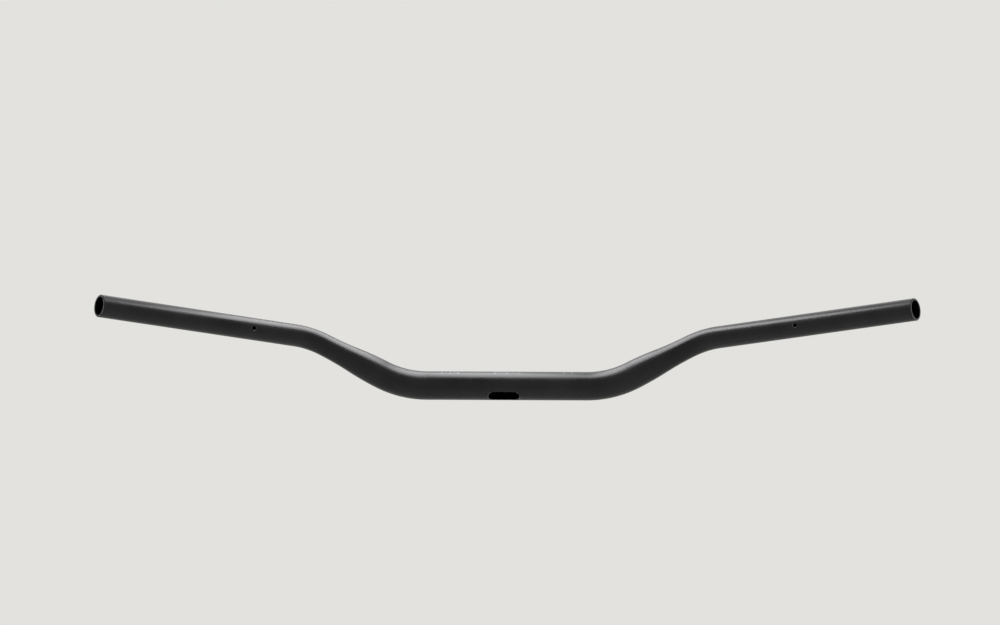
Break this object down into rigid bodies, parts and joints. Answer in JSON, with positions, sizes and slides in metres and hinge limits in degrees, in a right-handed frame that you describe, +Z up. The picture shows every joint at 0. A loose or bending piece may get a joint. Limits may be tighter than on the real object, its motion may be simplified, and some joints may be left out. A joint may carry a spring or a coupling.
{
  "type": "bicycle handlebar",
  "caption": "Riser handlebar for a bicycle: a bent, swaged tube with a thick stem seat, a cable port below it, swept-back grips and open ends.",
  "frame": {"origin": "middle of the stem seat, on the axis of the tube", "axes": "+X along the stem seat to the rider's right, +Y forward away from the rider, +Z up; the grips rise and turn back towards -Y"},
  "size_m": [0.8074, 0.1443, 0.1035],
  "materials": {
    "black_anodised": "bead-blasted and anodised black, satin"
  },
  "bodies": {
    "root": {"handlebar": "black_anodised"}
  },
  "joints": []
}
